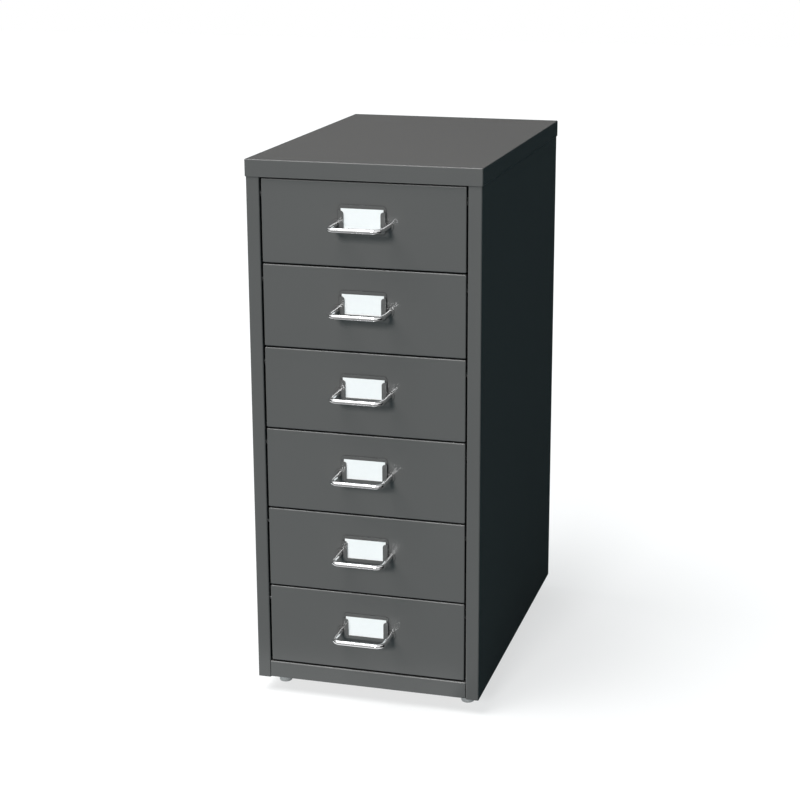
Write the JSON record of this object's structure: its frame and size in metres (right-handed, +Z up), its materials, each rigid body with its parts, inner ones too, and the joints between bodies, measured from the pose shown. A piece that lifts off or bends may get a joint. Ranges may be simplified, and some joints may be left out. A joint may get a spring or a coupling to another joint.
{
  "type": "metal drawer cabinet",
  "caption": "Tall narrow sheet steel drawer cabinet on plain plastic feet, with equal drawers, label holders and chromed wire handles.",
  "frame": {"origin": "on the floor, at the middle of the overall width and of the overall depth from the handles to the screw heads at the back", "axes": "+Z up, front and handles towards -Y, +X to the right as seen from the front"},
  "size_m": [0.28, 0.47, 0.6585],
  "materials": {
    "carcass_paint": "dark grey powder coat, fine satin grain",
    "drawer_paint": "dark grey powder coat, fine satin grain",
    "runner_steel": "zinc plated sheet, slightly dull",
    "fastener_steel": "bright zinc plate",
    "handle_chrome": "polished chrome plate",
    "pad_plastic": "off-white moulded plastic",
    "foot_plastic": "milky grey moulded plastic",
    "label_card": "blank white card"
  },
  "bodies": {
    "carcass": {"top_cap": "carcass_paint", "left_side_panel": "carcass_paint", "right_side_panel": "carcass_paint", "back_panel": "carcass_paint", "bottom_panel": "carcass_paint", "left_runners": "runner_steel", "right_runners": "runner_steel", "runner_pads": "pad_plastic", "runner_rivets": "fastener_steel", "back_screws": "fastener_steel", "cap_screws": "fastener_steel", "bottom_screws": "fastener_steel", "front_left_foot": "foot_plastic", "front_right_foot": "foot_plastic", "rear_left_foot": "foot_plastic", "rear_right_foot": "foot_plastic", "foot_studs": "fastener_steel", "foot_nuts": "fastener_steel"},
    "drawer_1": {"drawer_1_tray": "drawer_paint", "drawer_1_front": "drawer_paint", "drawer_1_glides": "pad_plastic", "drawer_1_label_holder": "drawer_paint", "drawer_1_handle": "handle_chrome", "drawer_1_handle_screws": "fastener_steel"},
    "drawer_1_card": {"drawer_1_label_card": "label_card"},
    "drawer_2": {"drawer_2_tray": "drawer_paint", "drawer_2_front": "drawer_paint", "drawer_2_glides": "pad_plastic", "drawer_2_label_holder": "drawer_paint", "drawer_2_handle": "handle_chrome", "drawer_2_handle_screws": "fastener_steel"},
    "drawer_2_card": {"drawer_2_label_card": "label_card"},
    "drawer_3": {"drawer_3_tray": "drawer_paint", "drawer_3_front": "drawer_paint", "drawer_3_glides": "pad_plastic", "drawer_3_label_holder": "drawer_paint", "drawer_3_handle": "handle_chrome", "drawer_3_handle_screws": "fastener_steel"},
    "drawer_3_card": {"drawer_3_label_card": "label_card"},
    "drawer_4": {"drawer_4_tray": "drawer_paint", "drawer_4_front": "drawer_paint", "drawer_4_glides": "pad_plastic", "drawer_4_label_holder": "drawer_paint", "drawer_4_handle": "handle_chrome", "drawer_4_handle_screws": "fastener_steel"},
    "drawer_4_card": {"drawer_4_label_card": "label_card"},
    "drawer_5": {"drawer_5_tray": "drawer_paint", "drawer_5_front": "drawer_paint", "drawer_5_glides": "pad_plastic", "drawer_5_label_holder": "drawer_paint", "drawer_5_handle": "handle_chrome", "drawer_5_handle_screws": "fastener_steel"},
    "drawer_5_card": {"drawer_5_label_card": "label_card"},
    "drawer_6": {"drawer_6_tray": "drawer_paint", "drawer_6_front": "drawer_paint", "drawer_6_glides": "pad_plastic", "drawer_6_label_holder": "drawer_paint", "drawer_6_handle": "handle_chrome", "drawer_6_handle_screws": "fastener_steel"},
    "drawer_6_card": {"drawer_6_label_card": "label_card"}
  },
  "joints": [
    {"name": "drawer_1_slide", "type": "slide", "parent": "carcass", "child": "drawer_1", "axis": [0, -1, 0], "range_m": [0, 0.32]},
    {"name": "drawer_1_card_lift", "type": "slide", "parent": "drawer_1", "child": "drawer_1_card", "axis": [0, 0, 1], "range_m": [0, 0.024]},
    {"name": "drawer_2_slide", "type": "slide", "parent": "carcass", "child": "drawer_2", "axis": [0, -1, 0], "range_m": [0, 0.32]},
    {"name": "drawer_2_card_lift", "type": "slide", "parent": "drawer_2", "child": "drawer_2_card", "axis": [0, 0, 1], "range_m": [0, 0.024]},
    {"name": "drawer_3_slide", "type": "slide", "parent": "carcass", "child": "drawer_3", "axis": [0, -1, 0], "range_m": [0, 0.32]},
    {"name": "drawer_3_card_lift", "type": "slide", "parent": "drawer_3", "child": "drawer_3_card", "axis": [0, 0, 1], "range_m": [0, 0.024]},
    {"name": "drawer_4_slide", "type": "slide", "parent": "carcass", "child": "drawer_4", "axis": [0, -1, 0], "range_m": [0, 0.32]},
    {"name": "drawer_4_card_lift", "type": "slide", "parent": "drawer_4", "child": "drawer_4_card", "axis": [0, 0, 1], "range_m": [0, 0.024]},
    {"name": "drawer_5_slide", "type": "slide", "parent": "carcass", "child": "drawer_5", "axis": [0, -1, 0], "range_m": [0, 0.32]},
    {"name": "drawer_5_card_lift", "type": "slide", "parent": "drawer_5", "child": "drawer_5_card", "axis": [0, 0, 1], "range_m": [0, 0.024]},
    {"name": "drawer_6_slide", "type": "slide", "parent": "carcass", "child": "drawer_6", "axis": [0, -1, 0], "range_m": [0, 0.32]},
    {"name": "drawer_6_card_lift", "type": "slide", "parent": "drawer_6", "child": "drawer_6_card", "axis": [0, 0, 1], "range_m": [0, 0.024]}
  ]
}
